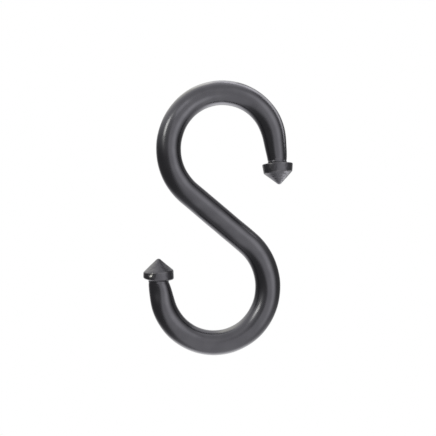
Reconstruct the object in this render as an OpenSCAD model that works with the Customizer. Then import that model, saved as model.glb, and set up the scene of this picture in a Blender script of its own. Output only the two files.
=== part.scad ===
// S hook bent from one round steel bar. Two open loops face opposite ways, and
// each arm thins to a neck that carries a pointed cap. Everything is one piece.
//
// Frame: millimetres, +Z up as the hook hangs, the S lies in the XZ plane.
// The origin is the rail seat, the highest point inside the upper loop.

/* [Bar] */
// Diameter of the round bar
bar_d = 8; // [7:0.1:9]
// Length of the straight shank between the two loops
shank_len = 25; // [18:0.1:32]
// Angle of the shank above level
shank_lean = 40.1; // [35:0.05:45]

/* [Loops] */
// Centreline radius of each loop
loop_r = 17.3; // [15:0.05:18.9]
// Centreline radius of the easier quarter bend between the shank and a loop
shoulder_r = 19.1; // [19:0.05:22]
// Angle of the tighter bend that finishes the upper loop
upper_sweep = 132; // [115:0.5:140]
// Angle of the tighter bend that finishes the lower loop
lower_sweep = 128; // [115:0.5:140]

/* [Arms] */
// Length of the straight thinning end of the upper arm
upper_arm = 8.3; // [4:0.1:9]
// Length of the straight thinning end of the lower arm
lower_arm = 6.4; // [4:0.1:9]
// Diameter of the neck under the upper cap
upper_neck_d = 6; // [5:0.1:6.6]
// Diameter of the neck under the lower cap
lower_neck_d = 6.5; // [5:0.1:6.6]
// Angle of the upper cap inwards from the line of its arm
upper_cap_tilt = 4.6; // [0:0.1:10]
// Angle of the lower cap inwards from the line of its arm
lower_cap_tilt = 10.7; // [0:0.1:12]

/* [Caps] */
// Diameter of a cap across the rim of its band
cap_d = 10.2; // [9.6:0.1:10.8]
// Height of the band
band_h = 2.6; // [1.8:0.1:3.2]
// How much the radius of the upper cap's band narrows towards the point
upper_draft = 0.36; // [0:0.02:0.6]
// How much the radius of the lower cap's band narrows towards the point
lower_draft = 0.1; // [0:0.02:0.6]
// Angle of the cone's side, from the plane of the band
cone_slope = 43; // [35:0.5:50]
// Radius of the blunt point
tip_r = 1; // [0.6:0.1:1.6]
// Depth of the upper cap's nearly flat back, from neck to rim
upper_back = 0.3; // [0.1:0.05:0.6]
// Depth of the lower cap's bevelled back, from neck to rim
lower_back = 0.95; // [0.6:0.05:1.2]
// Length of the bead round the neck where it meets the cap
bead_h = 0.7; // [0.4:0.05:1]
// How far the bead stands out from the neck
bead_rise = 0.14; // [0.05:0.01:0.2]
// Radius of the worn edges of the band
edge_r = 0.3; // [0.1:0.05:0.5]

/* [Hidden] */

bar_r = bar_d / 2;
cap_r = cap_d / 2;
// How far a neck is carried on inside its cap, so that a tilted cap leaves no gap
neck_bite = 1.2;
// How far an arm is carried back inside its loop, and how much slimmer it starts,
// so that the two meet without a coincident face
arm_bite = 0.5;
arm_ease = 0.02;
// Facets round the bar, round a full turn of a bend, and along a small round
bar_fn = 64;
bend_fn = 240;
arc_steps = 8;

// Centre of the upper loop from the middle of the shank: across and along the
// shank, and then as the hook hangs. The quarter bend ends square to the shank.
across = shoulder_r;
along = shank_len / 2 + shoulder_r - loop_r;
centre_x = across * sin(shank_lean) - along * cos(shank_lean);
centre_z = across * cos(shank_lean) + along * sin(shank_lean);
// The rail seat, from the middle of the shank
seat_x = centre_x;
seat_z = centre_z + loop_r - bar_r;

// Points on an arc about c, from angle a to angle b
function arc(c, r, a, b) =
    [for (i = [0 : arc_steps]) c + r * [cos(a + (b - a) * i / arc_steps), sin(a + (b - a) * i / arc_steps)]];

// Points of a round of radius r that takes off the corner at p, between a side
// that arrives along angle a and one that leaves along angle b, turning left
function round_corner(p, r, a, b) =
    let (half = (b - a) / 2, c = p + r / cos(half) * [cos(a + half + 90), sin(a + half + 90)])
    arc(c, r, a - 90, b - 90);

// A bend of the bar from the origin, heading +Z and turning towards +X. What
// follows is placed at its end.
module bend(radius, sweep) {
    translate([radius, 0, 0]) {
        rotate([90, 0, 0])
            rotate_extrude(angle = sweep, start = 180 - sweep, $fn = bend_fn)
                translate([radius, 0]) circle(r = bar_r, $fn = bar_fn);
        rotate([0, sweep, 0]) translate([-radius, 0, 0]) children();
    }
}

// The straight end of an arm. Its side is an arc that leaves the bar without a
// crease and comes in to the neck, which runs on into the cap.
module arm(len, neck_r) {
    start_r = bar_r - arm_ease;
    thinning = start_r - neck_r;
    side_r = (len * len + thinning * thinning) / (2 * thinning);
    rotate_extrude($fn = bar_fn)
        intersection() {
            translate([0, -arm_bite]) square([bar_d, arm_bite + len]);
            translate([start_r - side_r, 0]) circle(r = side_r, $fn = 720);
        }
    translate([0, 0, len]) cylinder(r = neck_r, h = neck_bite, $fn = bar_fn);
    translate([0, 0, len]) children();
}

// A pointed cap, turned about its own axis: a bead round the neck, a coned back, a
// rim, a band that narrows by draft, and a cone that ends in a blunt point.
module cap(neck_r, back, draft) {
    bead_r = (bead_h * bead_h / 4 + bead_rise * bead_rise) / (2 * bead_rise);
    bead_half = asin(bead_h / 2 / bead_r);
    root_r = cap_r - draft;
    band_angle = 90 + atan(draft / band_h);
    back_angle = atan(back / (cap_r - neck_r));
    cone_angle = 180 - cone_slope;
    cone_foot = back + band_h;
    sharp_z = cone_foot + root_r * tan(cone_slope);
    tip_z = sharp_z - tip_r / cos(cone_slope);
    rotate_extrude($fn = bar_fn)
        polygon(concat(
            [[0, -bead_h]],
            arc([neck_r + bead_rise - bead_r, -bead_h / 2], bead_r, -bead_half, bead_half),
            round_corner([cap_r, back], edge_r, back_angle, band_angle),
            round_corner([root_r, cone_foot], edge_r, band_angle, cone_angle),
            arc([0, tip_z], tip_r, 90 - cone_slope, 90)
        ));
}

// Half of the hook from the end of the shank to the point of its cap
module half(sweep, arm_len, neck_r, cap_tilt, back, draft) {
    translate([0, 0, shank_len / 2])
        bend(shoulder_r, 90)
            bend(loop_r, sweep)
                arm(arm_len, neck_r)
                    rotate([0, cap_tilt, 0]) cap(neck_r, back, draft);
}

// The whole hook. The lower half is the upper one turned half a turn about the
// middle of the shank, with its own reach.
module hook() {
    color([0.25, 0.25, 0.27])
        translate([-seat_x, 0, -seat_z])
            rotate([0, shank_lean - 90, 0]) {
                cylinder(r = bar_r, h = shank_len, center = true, $fn = bar_fn);
                half(upper_sweep, upper_arm, upper_neck_d / 2, upper_cap_tilt, upper_back, upper_draft);
                rotate([0, 180, 0])
                    half(lower_sweep, lower_arm, lower_neck_d / 2, lower_cap_tilt, lower_back, lower_draft);
            }
}

hook();
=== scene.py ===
"""An S hook bent from one round bar, with a pointed cap on each end, painted a satin dark grey.

Lengths are in millimetres and angles in degrees, unless a comment says otherwise. X points right and Z up,
the S lies in the XZ plane, and the origin is the highest point inside the upper loop, where a rail sits.
"""

import math
from collections import namedtuple

import bpy
import numpy as np
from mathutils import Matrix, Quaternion, Vector


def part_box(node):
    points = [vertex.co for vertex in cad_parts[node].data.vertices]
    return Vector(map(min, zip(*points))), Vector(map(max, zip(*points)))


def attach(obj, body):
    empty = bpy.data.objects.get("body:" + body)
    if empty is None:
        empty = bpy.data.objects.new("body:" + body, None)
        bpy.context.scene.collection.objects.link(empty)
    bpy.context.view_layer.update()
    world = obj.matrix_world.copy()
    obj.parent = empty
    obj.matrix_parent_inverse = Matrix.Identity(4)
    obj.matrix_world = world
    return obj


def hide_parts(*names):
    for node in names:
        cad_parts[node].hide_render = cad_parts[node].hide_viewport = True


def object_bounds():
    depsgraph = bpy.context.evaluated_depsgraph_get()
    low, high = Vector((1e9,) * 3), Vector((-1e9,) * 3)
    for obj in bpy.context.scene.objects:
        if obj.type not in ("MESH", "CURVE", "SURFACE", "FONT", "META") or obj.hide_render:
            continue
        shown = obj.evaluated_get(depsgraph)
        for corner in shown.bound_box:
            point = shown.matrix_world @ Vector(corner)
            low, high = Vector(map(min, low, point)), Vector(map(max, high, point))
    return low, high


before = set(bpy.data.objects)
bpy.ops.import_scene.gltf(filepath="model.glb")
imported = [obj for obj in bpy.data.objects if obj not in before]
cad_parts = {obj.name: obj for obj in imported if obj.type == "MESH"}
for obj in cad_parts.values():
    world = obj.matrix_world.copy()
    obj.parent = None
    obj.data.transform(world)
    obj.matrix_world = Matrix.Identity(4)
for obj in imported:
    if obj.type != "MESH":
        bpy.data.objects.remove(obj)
cad_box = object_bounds()

MM = 0.001

# ---------------------------------------------------------------- the bar
# The bar lies over the rail seat, so its top is one diameter above the origin
BAR_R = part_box("hook")[1].z / MM / 2
SHANK_LEN = 25.0
SHANK_LEAN = 40.1
LOOP_R = 17.3
SHOULDER_R = 19.1
SHOULDER_TURN = 90.0
# Half the stretch over which one bend eases into the next
EASE = 1.6
# Thickness of the paint
PAINT_FILM = 0.07
# Slow unevenness of the surface: height, waves in 100 mm along the bar and in a turn round it, start in turns
Wave = namedtuple("Wave", "height per_100_mm per_turn start")
WAVES = (
    Wave(0.06, 0.45, 0, 0.23),
    Wave(0.014, 4.1, 1, 0.10),
    Wave(0.012, 6.7, -2, 0.45),
    Wave(0.008, 11.3, 1, 0.72),
    Wave(0.006, 15.9, 3, 0.31),
)
# Where bending has rolled the bar out of round: place along it from the shank's middle, reach and height
Rolled = namedtuple("Rolled", "place reach height")
ROLLED = (
    Rolled(-24.5, 9.0, 0.20),
    Rolled(34.0, 9.0, 0.16),
    Rolled(73.0, 7.0, 0.12),
    Rolled(85.5, 3.2, -0.27),
)

# ---------------------------------------------------------------- the two ends
# sweep, arm: turn of the loop, and length of the straight arm that follows it.
# tilt, neck_bend: turn of the cap further round the loop, and the last stretch of the arm, which makes it.
# nod, nod_bend: turn of the cap towards the front, and the last stretch of the arm, which makes it.
# neck_r, thinning: radius of the neck, and the stretch over which the bar comes down to it.
# thin_power, even_neck: power of the thinning's curve, and length at the neck's end that stays even.
# bead, bead_rise: length and height of the bead round the neck.
# neck_round, rim_round, foot_round: rounds between neck and back, on the rim, and at the cone's foot.
# back, rim_r: depth of the cap's coned back, and radius of its rim.
# band, draft: height of the band, and how much its radius narrows from the rim to the cone's foot.
# slope, tip_r, shift: slope of the cone's side, radius of its blunt point, and how far right the point lies.
# neck_tip, rim_tip, foot_tip: slope towards the point, on the right, of the neck's end, rim and cone's foot.
# neck_bevel, rim_bevel: how much nearer to the point the outer side of the neck's end and of the rim lies.
# dent: depth of the dent in the band.
UPPER = dict(
    sweep=132.0, arm=8.3,
    tilt=4.6, neck_bend=5.0,
    nod=4.0, nod_bend=5.0,
    neck_r=3.08, thinning=15.0, thin_power=2.0, even_neck=0.0,
    bead=0.75, bead_rise=0.12,
    neck_round=0.06, rim_round=0.26, foot_round=0.7,
    back=0.3, rim_r=5.12,
    band=2.8, draft=0.34,
    slope=42.0, tip_r=1.0, shift=0.2,
    neck_tip=0.0, rim_tip=0.0, foot_tip=-2.6,
    neck_bevel=0.0, rim_bevel=0.0,
    dent=0.0,
)
LOWER = dict(
    sweep=128.0, arm=7.1,
    tilt=10.7, neck_bend=2.6,
    nod=5.0, nod_bend=8.0,
    neck_r=3.34, thinning=8.5, thin_power=1.85, even_neck=0.7,
    bead=0.8, bead_rise=0.07,
    neck_round=0.2, rim_round=0.4, foot_round=0.7,
    back=0.35, rim_r=5.06,
    band=2.55, draft=0.05,
    slope=41.8, tip_r=1.0, shift=0.1,
    neck_tip=-4.8, rim_tip=-1.0, foot_tip=2.7,
    neck_bevel=-0.35, rim_bevel=0.35,
    dent=0.16,
)
# The flat top of a bead, as shares of the bead's length back from the cap, and the rounds at the top's ends
BEAD_TOP = (0.6, 0.35)
BEAD_ROUNDS = (0.16, 0.1)
# How far the groove between the bead and the cap stands out from the neck
GROOVE_RISE = 0.02
# The dent in the band: distance from the neck's end, and angle round the cap from the right through the back.
# Height and spread are its reach along the cap and round it
DENT_OUT = 2.4
DENT_ANGLE = 240
DENT_HEIGHT = 0.6
DENT_SPREAD = 13
# The chip in the paint over the dent: its place, how far it leans from the cap's axis, and its reach each way
CHIP_OUT = 2.05
CHIP_ANGLE = 243
CHIP_LEAN = 36.87
CHIP_LENGTH = 1.2
CHIP_WIDTH = 0.4

# ---------------------------------------------------------------- the mesh
# Points round each ring, and distance between rings along the bar and along the cap's outline
COLUMNS = 96
BAR_STEP = 0.36
CAP_STEP = 0.11
# Points on the round of a corner, and stations of the running sums along one half
ROUND_POINTS = 13
SUM_STATIONS = 6000
# What the mesh says of each of its points
MARKS = ("edge_wear", "on_cap", "chip")


def centreline(end):
    """Stations of one half of the centreline, from the shank's middle to the neck's end.

    Curvature is constant along each stretch and eases from one to the next, and the cap's tilt adds a hump to
    it. The heading is its running sum, and the nod towards the front is a running sum of its own hump. The
    place is the running sum of the direction that the two give: sine across, cosine along, and the nod's sine
    to the front.
    """
    shoulder_len = SHOULDER_R * math.radians(SHOULDER_TURN)
    loop_len = LOOP_R * math.radians(end["sweep"])
    joints = np.cumsum([SHANK_LEN / 2, shoulder_len, loop_len])
    neck = joints[-1] + end["arm"]
    stops = np.ravel([[joint - EASE, joint + EASE] for joint in joints])
    bends = [0, 1 / SHOULDER_R, 1 / SHOULDER_R, 1 / LOOP_R, 1 / LOOP_R, 0]
    length, step = np.linspace(0, neck, SUM_STATIONS, retstep=True)
    between = length[:-1] + step / 2
    tilt = hump(1 - (neck - between) / end["neck_bend"]) * math.radians(end["tilt"])
    heading = running_sum(np.interp(between, stops, bends) * step + tilt)
    nod = running_sum(hump(1 - (neck - between) / end["nod_bend"]) * math.radians(end["nod"]))
    middle = (heading[:-1] + heading[1:]) / 2
    lean = (nod[:-1] + nod[1:]) / 2
    across = running_sum(np.sin(middle) * np.cos(lean) * step)
    along = running_sum(np.cos(middle) * np.cos(lean) * step)
    front = running_sum(np.sin(lean) * step)
    return length, np.stack([across, along, front], axis=1), heading, nod


def hump(share):
    """Weights that add up to 1 and rise and fall as a squared sine between shares 0 and 1."""
    weights = np.sin(np.pi * np.clip(share, 0, 1)) ** 2
    return weights / weights.sum()


def running_sum(values):
    """The sums of the first 0, 1, 2 and so on values."""
    return np.concatenate([[0.0], np.cumsum(values)])


def rounded_outline(corners, radii, step):
    """Points at even steps along a broken line whose inner corners are rounded, and where its rounds are.

    A round of radius r starts r times the tangent of half the turn before its corner. Its points are the
    centre plus r times a turning direction. The last array is 1 in the middle of a round and 0 off it.
    """
    corners = np.asarray(corners, float)
    ways = np.diff(corners, axis=0)
    ways /= np.linalg.norm(ways, axis=1)[:, None]
    points = [corners[:1]]
    bent = [np.zeros(1)]
    share = np.linspace(0, 1, ROUND_POINTS)
    for corner, radius, before, after in zip(corners[1:-1], radii, ways[:-1], ways[1:]):
        turn = math.atan2(before[0] * after[1] - before[1] * after[0], before @ after)
        start = corner - before * radius * abs(math.tan(turn / 2))
        reach = math.copysign(radius, turn)
        inward = np.array([-before[1], before[0]]) * reach
        angle = turn * share
        swing = np.outer(np.sin(angle), before) * reach - np.outer(np.cos(angle), inward)
        points.append(start + inward + swing)
        bent.append(np.sin(np.pi * share))
    points.append(corners[-1:])
    bent.append(np.zeros(1))
    points = np.concatenate(points)
    bent = np.concatenate(bent)
    far = running_sum(np.linalg.norm(np.diff(points, axis=0), axis=1))
    even = np.linspace(0, far[-1], int(far[-1] / step))
    spread = np.stack([np.interp(even, far, column) for column in points.T], axis=1)
    return spread, np.interp(even, far, bent)


def cap_outline(end):
    """The cap's outline from the bead to the point, and what is done to it on the way.

    The outline is the distance out along the axis and the radius. A sharp cone would end at its foot plus the
    foot's radius times the slope's tangent, and the ball that blunts it ends lower by its own radius times
    the slope's secant less 1. The rest are the wear of the edges, the lift of the right side in degrees, the
    bevel of the outer side, and the shift to the right. The last three run straight from edge to edge.
    """
    neck_r = end["neck_r"]
    bead_r = neck_r + end["bead_rise"]
    foot_r = end["rim_r"] - end["draft"]
    foot = end["back"] + end["band"]
    slope = math.radians(end["slope"])
    point = foot + foot_r * math.tan(slope) - end["tip_r"] * (1 / math.cos(slope) - 1)
    corners = [
        (-end["bead"], neck_r),
        (-end["bead"] * BEAD_TOP[0], bead_r),
        (-end["bead"] * BEAD_TOP[1], bead_r),
        (0, neck_r + GROOVE_RISE),
        (end["back"], end["rim_r"]),
        (foot, foot_r),
        (point, end["tip_r"] * math.tan(slope / 2)),
        (point, 0),
    ]
    radii = [*BEAD_ROUNDS, end["neck_round"], end["rim_round"], end["foot_round"], end["tip_r"]]
    outline, bent = rounded_outline(corners, radii, CAP_STEP)
    out, radius = outline.T
    worn = bent * (out > end["back"] / 2)
    edges = [-end["bead"], 0, end["back"], foot, point]
    lift = np.interp(out, edges, [0, end["neck_tip"], end["rim_tip"], end["foot_tip"], 0])
    bevel = np.interp(out, edges, [0, end["neck_bevel"], end["rim_bevel"], 0, 0])
    shift = np.interp(out, [foot, point], [0, end["shift"]])
    return out, radius, worn, lift, bevel, shift


def uneven(ring, far, angle):
    """Radii with the bar's slow swells and its rolled stretches added.

    A swell is a sine wave that runs along the bar and round it, fading to nothing with the radius. A rolled
    stretch is a bell curve along the bar times the sine of twice the angle round it, which bulges the bar
    half way between the S's plane and the way through it, and leaves the outline of the S alone.
    """
    far = far[:, None]
    for wave in WAVES:
        phase = 2 * math.pi * (far * wave.per_100_mm / 100 + wave.start) + wave.per_turn * angle
        ring = ring + wave.height * np.sin(phase) * np.clip(ring / BAR_R, 0, 1)
    for rolled in ROLLED:
        bell = np.exp(-(((far - rolled.place) / rolled.reach) ** 2))
        ring = ring + rolled.height * bell * np.sin(2 * angle)
    return ring


def dent_and_chip(end, out, angle):
    """The depth of the dent and the bareness of the chip, by the distance out from the neck and the angle.

    Each is a bell curve in two ways: the dent along the cap and round it, and the chip along its own length
    and across it, which lean from the cap's axis.
    """
    out = out[:, None]
    along = (out - DENT_OUT) / DENT_HEIGHT
    around = (angle - math.radians(DENT_ANGLE)) / math.radians(DENT_SPREAD)
    dent = end["dent"] * np.exp(-(along**2) - around**2)
    above = out - CHIP_OUT
    beside = (angle - math.radians(CHIP_ANGLE)) * end["rim_r"]
    lean = math.radians(CHIP_LEAN)
    lengthwise = (above * math.cos(lean) + beside * math.sin(lean)) / CHIP_LENGTH
    sideways = (above * math.sin(lean) - beside * math.cos(lean)) / CHIP_WIDTH
    chip = (end["dent"] > 0) * np.exp(-(lengthwise**2) - sideways**2)
    return dent, chip


def ways_at(turned, nodded, side):
    """The ways along the bar, across the S and through it at each heading and nod, in the half's own axes."""
    flat = np.zeros_like(turned)
    sine, cosine = np.sin(turned), np.cos(turned)
    along = np.stack([sine * np.cos(nodded), cosine * np.cos(nodded), np.sin(nodded)], axis=1)
    across = np.stack([cosine, -sine, flat], axis=1) * side
    through = np.stack([sine * np.sin(nodded), cosine * np.sin(nodded), -np.cos(nodded)], axis=1)
    return along[:, None, :], across[:, None, :], through[:, None, :]


def half_surface(end, side):
    """Rows of points round one half of the hook, from the shank's middle to the cap's point, and their marks.

    Each row is a ring square to the centreline: its middle, plus the radius times the cosine of the angle
    round the bar across the S, plus the radius times the sine through it. The arm's radius falls by a power
    of the distance from where it starts to thin. The cap goes straight on from the neck's end. Its rings are
    also moved along the bar's way, by their width times the tangent of the lift and, on the outer side, by
    the bevel times the squared cosine. Side is -1 or 1, so that the two halves number their columns alike.
    A point's marks are those that MARKS names.
    """
    length, place, heading, nod = centreline(end)
    neck = length[-1]
    stations = np.arange(0, neck - end["bead"], BAR_STEP)
    thin = np.clip(1 - (neck - end["even_neck"] - stations) / end["thinning"], 0, 1)
    full_r = BAR_R + PAINT_FILM
    bar_r = full_r - (full_r - end["neck_r"]) * thin ** end["thin_power"]
    out, cap_r, *shaping = cap_outline(end)
    nothing = np.zeros(len(stations))
    beyond, worn, lift, bevel, shift = (np.concatenate([nothing, values]) for values in (out, *shaping))
    at = np.concatenate([stations, np.full(len(out), neck)])

    angle = np.linspace(0, 2 * math.pi, COLUMNS, endpoint=False)[None, :]
    every = np.ones_like(angle)
    past_neck = at + beyond - neck
    dent, chip = dent_and_chip(end, past_neck, angle)
    ring = uneven(np.concatenate([bar_r, cap_r])[:, None] * every, side * (at + beyond), angle) - dent
    wide = ring * np.cos(angle)
    deep = ring * np.sin(angle)
    outer = np.clip(side * -np.cos(angle), 0, 1)
    tip = wide * np.tan(np.radians(lift))[:, None] + bevel[:, None] * outer**2

    middle = np.stack([np.interp(at, length, column) for column in place.T], axis=1)[:, None, :]
    along, across, through = ways_at(np.interp(at, length, heading), np.interp(at, length, nod), side)
    points = (
        middle
        + along * (beyond[:, None] + tip)[..., None]
        + across * (shift[:, None] + wide)[..., None]
        + through * deep[..., None]
    )
    on_cap = np.clip(past_neck, 0, 1)
    return points, np.stack([worn[:, None] * every, on_cap[:, None] * every, chip], axis=-1)


def hook_surface():
    """The whole hook as rows from the upper point to the lower one, with the rail seat at the origin.

    The lower half is the upper one's course turned half a turn about the shank's middle. Across, along and
    front become X, Z and -Y by the shank's lean, and the highest ring puts the bar's middle over the seat.
    """
    upper, upper_marks = half_surface(UPPER, -1)
    lower, lower_marks = half_surface(LOWER, 1)
    lower = lower * [-1, -1, 1]
    rows = np.concatenate([upper[::-1], lower[1:]])
    marks = np.concatenate([upper_marks[::-1], lower_marks[1:]])
    lean = math.radians(SHANK_LEAN)
    x = rows[..., 0] * math.sin(lean) - rows[..., 1] * math.cos(lean)
    z = rows[..., 0] * math.cos(lean) + rows[..., 1] * math.sin(lean)
    placed = np.stack([x, -rows[..., 2], z], axis=-1)
    rings = placed.mean(axis=1)
    top = rings[rings[:, 2].argmax()]
    return placed - [top[0], 0, top[2] - BAR_R], marks


def closed_mesh(name, rows, marks):
    """A closed mesh from rows of rings: quads between them, and a fan of triangles to a point at each end.

    Each kind of mark becomes an attribute, with one value for each point.
    """
    count, columns = rows.shape[:2]
    ends = [rows[0].mean(axis=0), rows[-1].mean(axis=0)]
    points = np.concatenate([rows.reshape(-1, 3), ends]) * MM
    here = np.arange(columns)
    beside = (here + 1) % columns
    first = np.arange(count - 1)[:, None] * columns
    second = first + columns
    quads = np.stack([first + here, first + beside, second + beside, second + here], axis=-1)
    start_fan = np.stack([np.full(columns, count * columns), beside, here], axis=-1)
    last = (count - 1) * columns
    end_fan = np.stack([last + here, last + beside, np.full(columns, count * columns + 1)], axis=-1)
    faces = quads.reshape(-1, 4).tolist() + start_fan.tolist() + end_fan.tolist()
    mesh = bpy.data.meshes.new(name)
    mesh.from_pydata(points.tolist(), [], faces)
    mesh.shade_smooth()
    for kind, values in zip(MARKS, np.moveaxis(marks, -1, 0)):
        attribute = mesh.attributes.new(kind, "FLOAT", "POINT")
        spread = np.concatenate([values.ravel(), values[0, :1], values[-1, :1]])
        attribute.data.foreach_set("value", spread.astype(np.float32))
    mesh.validate()
    piece = bpy.data.objects.new(name, mesh)
    bpy.context.scene.collection.objects.link(piece)
    return piece


# ---------------------------------------------------------------- node trees
class Value:
    """A number or vector socket in a node tree. Arithmetic on it adds Math nodes."""

    def __init__(self, graph, socket):
        self.graph = graph
        self.socket = socket

    def __add__(self, other):
        return self.graph.math("ADD", self, other)

    def __sub__(self, other):
        return self.graph.math("SUBTRACT", self, other)

    def __mul__(self, other):
        return self.graph.math("MULTIPLY", self, other)

    def __rsub__(self, other):
        return self.graph.math("SUBTRACT", other, self)

    __radd__ = __add__
    __rmul__ = __mul__


class Graph:
    """The node tree of one material or world, emptied and ready to be wired."""

    def __init__(self, owner):
        owner.use_nodes = True
        self.tree = owner.node_tree
        self.tree.nodes.clear()

    def node(self, kind, settings=None, sockets=None):
        """Adds a node, sets its settings, then gives each named or numbered socket its value or link."""
        node = self.tree.nodes.new(kind)
        for name, value in (settings or {}).items():
            setattr(node, name, value)
        for name, value in (sockets or {}).items():
            if isinstance(value, Value):
                self.tree.links.new(value.socket, node.inputs[name])
            else:
                node.inputs[name].default_value = value
        return node

    def out(self, node, name=0):
        """One of a node's outputs, by name or number."""
        return Value(self, node.outputs[name])

    def place(self):
        """Object coordinates."""
        return self.out(self.node("ShaderNodeTexCoord"), "Object")

    def mark(self, name):
        """One of the mesh's own attributes."""
        return self.out(self.node("ShaderNodeAttribute", {"attribute_name": name}), "Fac")

    def math(self, operation, *values):
        """The result of a Math node."""
        return self.out(self.node("ShaderNodeMath", {"operation": operation}, dict(enumerate(values))))

    def vector(self, operation, first, second, name=0):
        """One of the results of a Vector Math node."""
        node = self.node("ShaderNodeVectorMath", {"operation": operation}, {0: first, 1: second})
        return self.out(node, name)

    def ramp(self, value, start, end):
        """0 below start and 1 above end, smooth between them. Turned round where end is below start."""
        if end < start:
            return 1 - self.ramp(value, end, start)
        sockets = {"Value": value, "From Min": start, "From Max": end}
        return self.out(self.node("ShaderNodeMapRange", {"interpolation_type": "SMOOTHSTEP"}, sockets))

    def noise(self, place, grain):
        """Smooth noise from 0 to 1, whose blots are about as wide as the grain's size."""
        sockets = {"Vector": place, "Scale": 1 / (grain.size * MM), "Detail": grain.detail}
        return self.out(self.node("ShaderNodeTexNoise", None, sockets), "Fac")

    def blend(self, share, first, second):
        """The first colour where share is 0 and the second where it is 1."""
        mix = self.node("ShaderNodeMix", {"data_type": "RGBA"}, {"Factor": share, 6: first, 7: second})
        return self.out(mix, 2)


# ---------------------------------------------------------------- the paint
PAINT = (0.113, 0.111, 0.122, 1)
PAINT_DARK = (0.104, 0.102, 0.113, 1)
WORN_EDGE = (0.20, 0.195, 0.20, 1)
BARE_STEEL = (0.55, 0.54, 0.53, 1)
# Noises in the finish: size of their blots, how much finer detail they hold, and height of those in relief
Grain = namedtuple("Grain", "size detail height", defaults=(1.0, 0.0))
BLOTCHES = Grain(4.0, detail=3.0)
RUB_PATCHES = Grain(0.8, detail=2.0)
PEEL = Grain(0.45, height=0.0006)
SWELL = Grain(5.0, height=0.010)
GRIT = Grain(0.12, height=0.0002)
TURNING = Grain(2.2, detail=2.0, height=0.03)
MOTTLE = Grain(1.5, height=0.16)
# How much finer the marks of turning are along the hook's height than round it
TURNING_SQUEEZE = 7
# Where the noises and marks pass from nothing to full
BLOTCH_EDGE = (0.35, 0.65)
RUB_EDGE = (0.35, 0.7)
CHIP_EDGE = (0.3, 0.7)
# How far the most worn edge is rubbed, the paint's roughness, and what blotches, rubbing and a cap add to it
RUBBED = 0.6
ROUGH = 0.20
ROUGHER_BLOTCH = 0.06
ROUGHER_RUB = 0.1
ROUGHER_CAP = 0.12


def satin_paint():
    """Dark grey satin paint over steel: faint blotches, a fine orange peel, and paler rubbed edges.

    The caps are duller and less even than the bar, with marks of turning round them. The chip is bare steel.
    """
    material = bpy.data.materials.new("satin_paint")
    graph = Graph(material)
    place = graph.place()
    on_cap = graph.mark("on_cap")
    blotches = graph.noise(place, BLOTCHES)
    squeezed = graph.vector("MULTIPLY", place, (1, 1, TURNING_SQUEEZE))

    def relief(grain, where=place):
        return graph.noise(where, grain) * grain.height

    rubbed = graph.mark("edge_wear") * graph.ramp(graph.noise(place, RUB_PATCHES), *RUB_EDGE) * RUBBED
    chip = graph.ramp(graph.mark("chip"), *CHIP_EDGE)
    tone = graph.blend(graph.ramp(blotches, *BLOTCH_EDGE), PAINT, PAINT_DARK)
    colour = graph.blend(chip, graph.blend(rubbed, tone, WORN_EDGE), BARE_STEEL)
    cap_height = relief(TURNING, squeezed) + relief(MOTTLE)
    height = relief(PEEL) + relief(SWELL) + relief(GRIT) + on_cap * cap_height
    bump = graph.node("ShaderNodeBump", None, {"Strength": 1.0, "Distance": MM, "Height": height})
    shader = graph.node("ShaderNodeBsdfPrincipled", None, {
        "Base Color": colour,
        "Metallic": 1.0,
        "Roughness": blotches * ROUGHER_BLOTCH + rubbed * ROUGHER_RUB + on_cap * ROUGHER_CAP + ROUGH,
        "Normal": graph.out(bump),
    })
    graph.node("ShaderNodeOutputMaterial", None, {"Surface": graph.out(shader)})
    return material


# ---------------------------------------------------------------- the studio
WHITE = (1, 1, 1, 1)
WINDOW_WARM = (1, 1, 0.86, 1)
GLINT_WARM = (0.98, 1.0, 0.88)
# Light that matt surfaces get from all round, as a share of white. The overhead lamp gives them the rest
EVEN_LIGHT = 0.62

# One soft edge of a card that stands round the hook. It bounds the card's azimuth, counted from the front
# towards the right, or its elevation. The card starts to show at start and is full at full, which may lie
# past straight up or down. An edge that leans is read at its own angle plus the lean times the other angle,
# which is counted from the pivot and goes no higher than the cap.
Edge = namedtuple("Edge", "bounds start full lean pivot cap", defaults=(0, 0, None))
LEFT_CARD = (
    Edge("azimuth", -2, -18, lean=-0.75, cap=4),
    Edge("azimuth", -162, -128, lean=0.3, cap=0),
    Edge("elevation", 34, -4, lean=0.055, pivot=-75),
    Edge("elevation", -96, -29),
)
RIGHT_CARD = (
    Edge("azimuth", 43, 84),
    Edge("azimuth", 171, 131, lean=-0.17),
    Edge("elevation", 64, 60, lean=0.4, pivot=100),
    Edge("elevation", -78, -3),
)
FRONT_FILL = (
    Edge("azimuth", 14, 46, lean=0.45),
    Edge("azimuth", 180, 77),
    Edge("elevation", 49, 36),
    Edge("elevation", -49, -16),
)
LEFT_WINDOW = (
    Edge("azimuth", -83, -149),
    Edge("azimuth", -182, -158),
    Edge("elevation", 5, 60),
    Edge("elevation", 85, 55),
)
RIGHT_STRIP = (
    Edge("azimuth", 46, 62),
    Edge("azimuth", 116, 98),
    Edge("elevation", 55, 60, lean=0.25, pivot=100),
    Edge("elevation", 80, 68),
)
# Share of the light that the dark cards take. The right one takes less further up
LEFT_DARK = 0.83
RIGHT_DARK = 0.84
RIGHT_EASED = 0.07
RIGHT_EASED_FROM = (15, 40)
# Light that the pale ones add, as a share of white
FRONT_GAIN = 0.62
WINDOW_GAIN = 1.4
STRIP_GAIN = 0.6
# The next ones go by the direction's Y, away from the front, and its Z, which end at 1. The white dims
# overhead, the wall behind brightens upwards, and the ground behind brightens downwards
HIGH_Z = (0.40, 0.66)
HIGH_DIM = 0.16
BEHIND_Y = (-0.42, -0.05)
BEHIND_Z = (0.26, 1.29)
BEHIND_GAIN = 0.52
UNDER_Y = (0, 0.96)
UNDER_Z = (-0.25, -1.38)
UNDER_GAIN = 3.6


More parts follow.
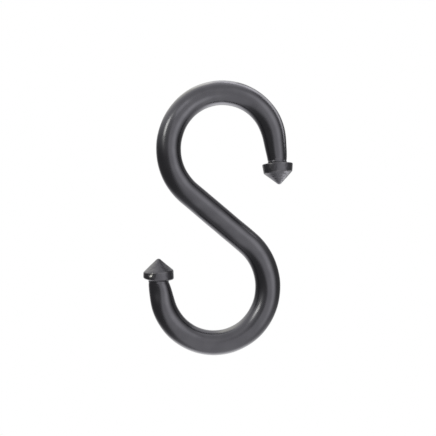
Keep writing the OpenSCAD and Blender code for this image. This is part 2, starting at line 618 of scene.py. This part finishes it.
def card(graph, edges, azimuth, elevation):
    """1 in the middle of a card and 0 beyond it: the product of a smooth ramp across each of its edges."""
    ramps = []
    for edge in edges:
        own, other = (azimuth, elevation) if edge.bounds == "azimuth" else (elevation, azimuth)
        if edge.cap is not None:
            other = graph.math("MINIMUM", other, edge.cap)
        if edge.lean:
            own = own + (other - edge.pivot) * edge.lean
        ramps.append(graph.ramp(own, edge.start, edge.full))
    return math.prod(ramps)


def studio_world():
    """White all round, in which reflections find two dark cards, a pale fill, a warm window and a strip.

    Their light is the white and the fill, times what each dark card lets through, plus that of the window,
    the strip, the wall behind and the ground. The camera sees plain white, and matt surfaces get an even
    part of it.
    """
    world = bpy.data.worlds.new("studio")
    bpy.context.scene.world = world
    graph = Graph(world)
    direction = graph.out(graph.node("ShaderNodeTexCoord"), "Generated")
    split = graph.node("ShaderNodeSeparateXYZ", None, {"Vector": direction})
    x, y, z = (graph.out(split, axis) for axis in "XYZ")
    azimuth = graph.math("DEGREES", graph.math("ARCTAN2", x, 0 - y))
    elevation = graph.math("DEGREES", graph.math("ARCSINE", z))
    left_card, right_card, front_fill, left_window, right_strip = (
        card(graph, edges, azimuth, elevation)
        for edges in (LEFT_CARD, RIGHT_CARD, FRONT_FILL, LEFT_WINDOW, RIGHT_STRIP)
    )
    white = 1 - graph.ramp(z, *HIGH_Z) * HIGH_DIM + front_fill * FRONT_GAIN
    past_left = 1 - left_card * LEFT_DARK
    past_right = 1 - right_card * (RIGHT_DARK - graph.ramp(elevation, *RIGHT_EASED_FROM) * RIGHT_EASED)
    behind = graph.ramp(y, *BEHIND_Y) * graph.ramp(z, *BEHIND_Z) * BEHIND_GAIN
    under = graph.ramp(y, *UNDER_Y) * graph.ramp(z, *UNDER_Z) * UNDER_GAIN
    added = behind + under + left_window * WINDOW_GAIN + right_strip * STRIP_GAIN
    reflected = white * past_left * past_right + added

    path = graph.node("ShaderNodeLightPath")
    seen = graph.math("MAXIMUM", graph.out(path, "Is Camera Ray"), graph.out(path, "Is Transmission Ray"))
    glossy = graph.out(path, "Is Glossy Ray")
    level = seen + (1 - seen) * (glossy * reflected + (1 - glossy) * EVEN_LIGHT)
    tint = graph.blend(glossy * left_window, WHITE, WINDOW_WARM)
    light = graph.node("ShaderNodeBackground", None, {"Color": tint, "Strength": level})
    graph.node("ShaderNodeOutputWorld", None, {"Surface": graph.out(light)})


# A lamp: place from the hook's middle in metres, direction that it faces, size in metres, radiance times
# white, turn about its own axis, and angle that its light spreads over
Lamp = namedtuple("Lamp", "name place facing size radiance roll spread", defaults=(0, 180))
# Small ones close to the hook. The first brightens the upper cap's right flank. The next two brighten the
# lower and upper edge of the upper loop's top, and the two after them its left bend, from outside and inside.
# The last brightens its right edge.
CLOSE_LAMPS = (
    Lamp("cap_card", (0.0275, 0.004, 0.0055), (-5, -6, 9), (0.011, 0.011), 0.28, 0, 50),
    Lamp("under_top", (0.0014, 0.005, 0.0261), (0, -0.54, 0.84), (0.014, 0.012), 0.12, 0, 60),
    Lamp("over_top", (-0.003, 0.005, 0.0541), (0, -0.54, -0.84), (0.022, 0.012), 0.16, 0, 60),
    Lamp("pale_streak", (-0.028, -0.0585, 0.055), (0.288, 0.914, -0.288), (0.014, 0.036), 0.08, 45, 50),
    Lamp("inner_fill", (0.0159, -0.0495, 0.0066), (-0.413, 0.766, 0.492), (0.038, 0.038), 0.062, 45, 50),
    Lamp("rim", (0.030, 0.003, 0.052), (0, -1, 0), (0.028, 0.058), 2.0, -45, 180),
)


def bearing(azimuth, elevation):
    """The direction at an azimuth from the front towards the right, and an elevation."""
    turn = math.radians(azimuth)
    rise = math.radians(elevation)
    return Vector((math.sin(turn) * math.cos(rise), -math.cos(turn) * math.cos(rise), math.sin(rise)))


# Two lamps that face the hook from further off. The overhead one isn't reflected, and the other is the glint
# on both bends
OVERHEAD = bearing(180, 60)
GLINT = bearing(-55, 19)
GLINT_DISTANCE = 3
FAR_LAMPS = (
    Lamp("overhead", OVERHEAD, -OVERHEAD, (0.8, 0.8), 2.0),
    Lamp("glint", GLINT * GLINT_DISTANCE, -GLINT, (0.85, 0.72), 5.3),
)


def area_lamp(lamp):
    """A rectangular lamp as bright all over as its radiance times white, placed from the hook's middle."""
    data = bpy.data.lights.new(lamp.name, "AREA")
    data.shape = "RECTANGLE"
    data.size, data.size_y = lamp.size
    data.energy = lamp.radiance * math.pi * data.size * data.size_y
    data.spread = math.radians(lamp.spread)
    turn = (-Vector(lamp.facing)).to_track_quat("Z", "Y") @ Quaternion((0, 0, 1), math.radians(lamp.roll))
    holder = bpy.data.objects.new(lamp.name, data)
    holder.location = (cad_box[0] + cad_box[1]) / 2 + Vector(lamp.place)
    holder.rotation_euler = turn.to_euler()
    holder.visible_camera = False
    bpy.context.scene.collection.objects.link(holder)
    return holder


# How far the floor lies below the hook, how wide it is, and where its shading fades to plain white, in metres
FLOOR_DROP = 0.07
FLOOR_SIZE = 6.0
FLOOR_FADE = (0.10, 0.21)
FLOOR_WHITE = (0.95, 0.95, 0.95, 1)
# Share of plain white where the floor is shaded
FLOOR_PLAIN = 0.35


def pale_floor():
    """A wide white floor below the hanging hook, which takes its soft shadow and is plain white further off.

    Reflections look past it to the studio's white and its cards.
    """
    low = cad_box[0].z - FLOOR_DROP
    half = FLOOR_SIZE / 2
    corners = [(-half, -half, low), (half, -half, low), (half, half, low), (-half, half, low)]
    mesh = bpy.data.meshes.new("floor")
    mesh.from_pydata(corners, [], [(0, 1, 2, 3)])
    floor = bpy.data.objects.new("floor", mesh)
    bpy.context.scene.collection.objects.link(floor)
    material = bpy.data.materials.new("white_floor")
    graph = Graph(material)
    seen = graph.out(graph.node("ShaderNodeLightPath"), "Is Camera Ray")
    offset = graph.vector("DISTANCE", graph.place(), (0, 0, low), "Value")
    plain = seen * (FLOOR_PLAIN + (1 - FLOOR_PLAIN) * graph.ramp(offset, *FLOOR_FADE))
    matt = graph.node("ShaderNodeBsdfDiffuse", None, {"Color": FLOOR_WHITE})
    glow = graph.node("ShaderNodeEmission", None, {"Color": WHITE, "Strength": 1.0})
    mix = graph.node("ShaderNodeMixShader", None, {0: plain, 1: graph.out(matt), 2: graph.out(glow)})
    graph.node("ShaderNodeOutputMaterial", None, {"Surface": graph.out(mix)})
    mesh.materials.append(material)
    floor.visible_glossy = False


# How far from the hook the camera stands, how far aside and below its middle, and how near it sees, in metres
CAMERA_DISTANCE = 0.4
CAMERA_ASIDE = -0.0001
CAMERA_NEAR = 0.01
# How many hook heights the picture takes in
PICTURE_HEIGHTS = 1.59


def front_camera():
    """A level camera straight in front of the hook's middle."""
    middle = (cad_box[0] + cad_box[1]) / 2
    data = bpy.data.cameras.new("camera")
    camera = bpy.data.objects.new("camera", data)
    field = (cad_box[1].z - cad_box[0].z) * PICTURE_HEIGHTS
    data.lens = data.sensor_width * CAMERA_DISTANCE / field
    data.clip_start = CAMERA_NEAR
    camera.location = middle + Vector((CAMERA_ASIDE, -CAMERA_DISTANCE, CAMERA_ASIDE))
    camera.rotation_euler = (math.radians(90), 0, 0)
    bpy.context.scene.collection.objects.link(camera)
    bpy.context.scene.camera = camera


rows, marks = hook_surface()
hook = closed_mesh("painted_hook", rows, marks)
hook.data.materials.append(satin_paint())
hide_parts("hook")
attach(hook, "root")

front_camera()
studio_world()
overhead, glint = (area_lamp(lamp) for lamp in FAR_LAMPS)
overhead.visible_glossy = False
glint.data.color = GLINT_WARM
for lamp in CLOSE_LAMPS:
    area_lamp(lamp)
pale_floor()
bpy.context.scene.view_settings.view_transform = "Standard"
